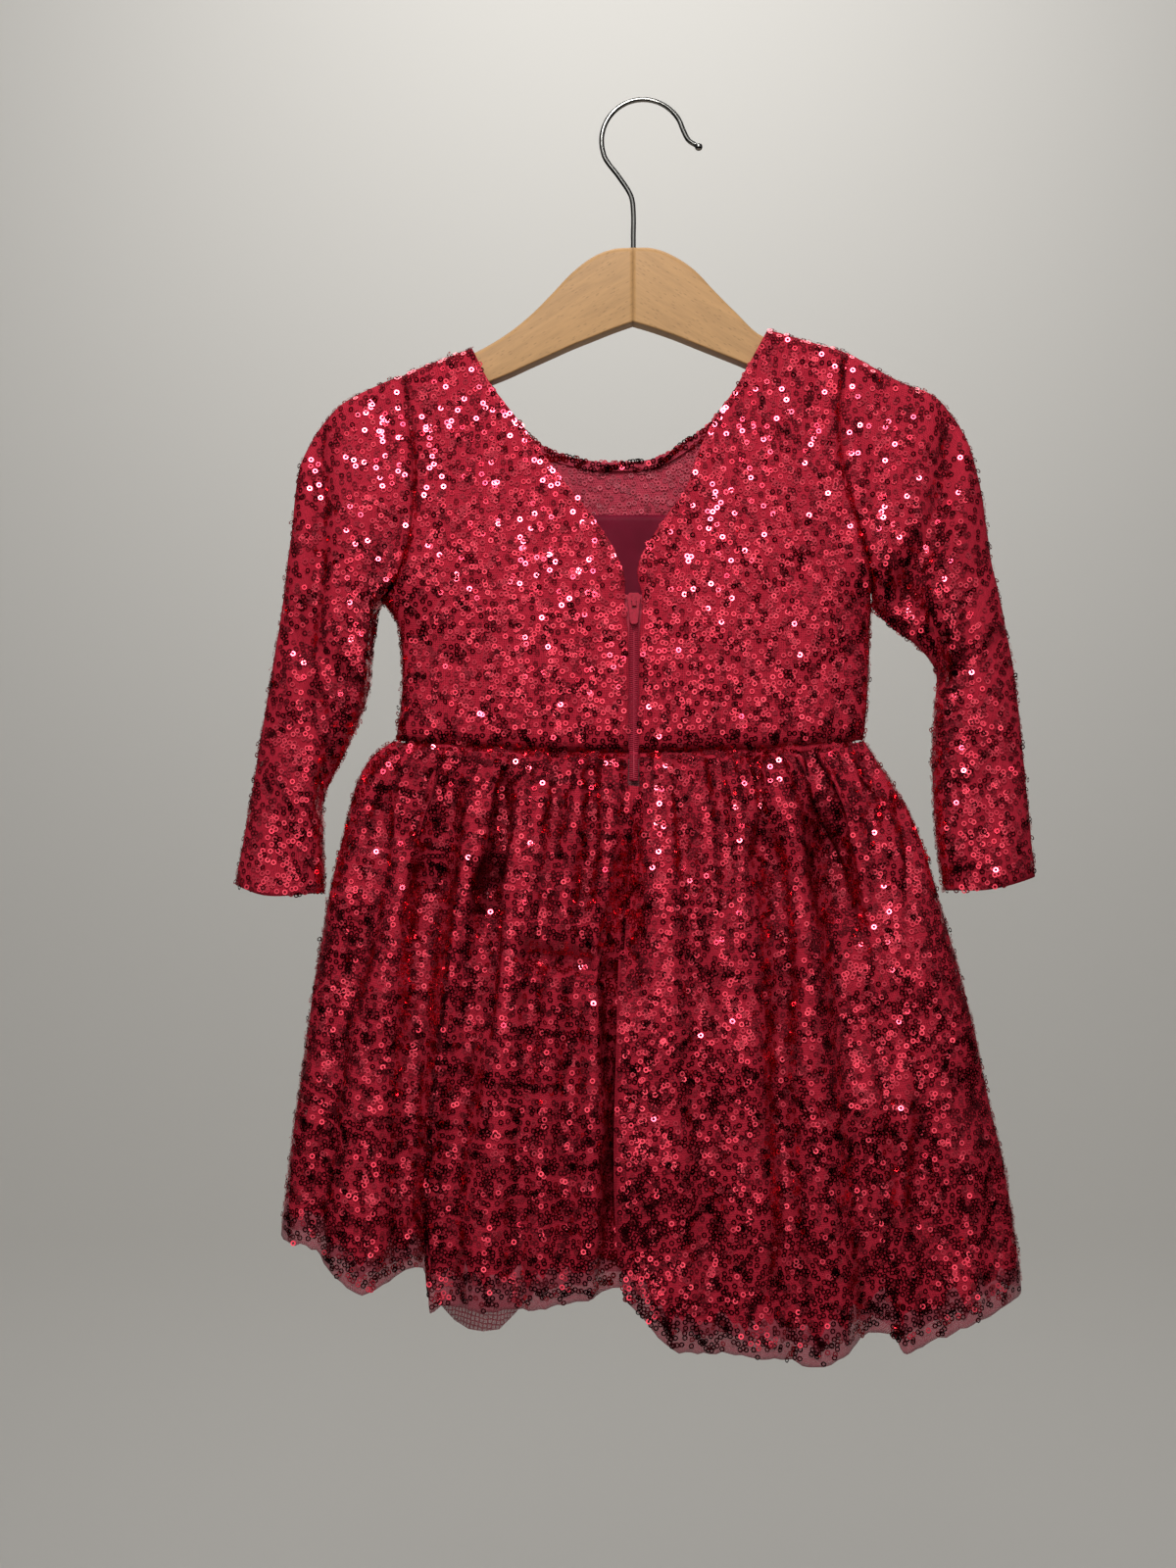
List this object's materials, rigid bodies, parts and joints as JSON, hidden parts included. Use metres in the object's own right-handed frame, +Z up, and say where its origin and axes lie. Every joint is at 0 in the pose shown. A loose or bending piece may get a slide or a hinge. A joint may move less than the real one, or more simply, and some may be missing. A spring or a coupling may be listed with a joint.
{
  "type": "sequin dress on a hanger",
  "caption": "Child's long-sleeved sequin dress with a gathered skirt and a back zip, hung on a wooden hanger with a wire hook.",
  "frame": {"origin": "inside of the hook's crown, where a rail or wall hook holds the hanger", "axes": "+X to the wearer's right along the hanger, -Y behind the wearer, +Z up"},
  "size_m": [0.3908, 0.0688, 0.6106],
  "materials": {
    "sequin_cloth": "satin",
    "sequin_cloth_inside": "matte",
    "satin_lining": "satin",
    "net": "matte",
    "zip_tape": "matte",
    "zip_coil": "satin",
    "zip_metal": "gloss",
    "beech": "satin",
    "hook_steel": "polished"
  },
  "bodies": {
    "dress_on_hanger": {"hook": "hook_steel", "hanger_left": "beech", "hanger_right": "beech", "bodice_back_left": "sequin_cloth", "bodice_back_right": "sequin_cloth", "bodice_front": "sequin_cloth_inside", "lining_front": "satin_lining", "neck_hem_front": "sequin_cloth_inside", "sleeve_left": "sequin_cloth", "sleeve_right": "sequin_cloth", "skirt_back_left": "sequin_cloth", "skirt_back_right": "sequin_cloth", "skirt_front": "sequin_cloth", "net_underskirt": "net", "zip_coil": "zip_coil", "zip_tape_left": "zip_tape", "zip_tape_right": "zip_tape", "zip_slider": "zip_metal"},
    "zip_pull": {"zip_pull_tab": "zip_metal"}
  },
  "joints": [
    {"name": "zip_pull_swing", "type": "hinge", "parent": "dress_on_hanger", "child": "zip_pull", "pos_m": [-0.005, -0.02006, -0.2459], "axis": [-1, 0, 0], "range_deg": [0, 150]}
  ]
}
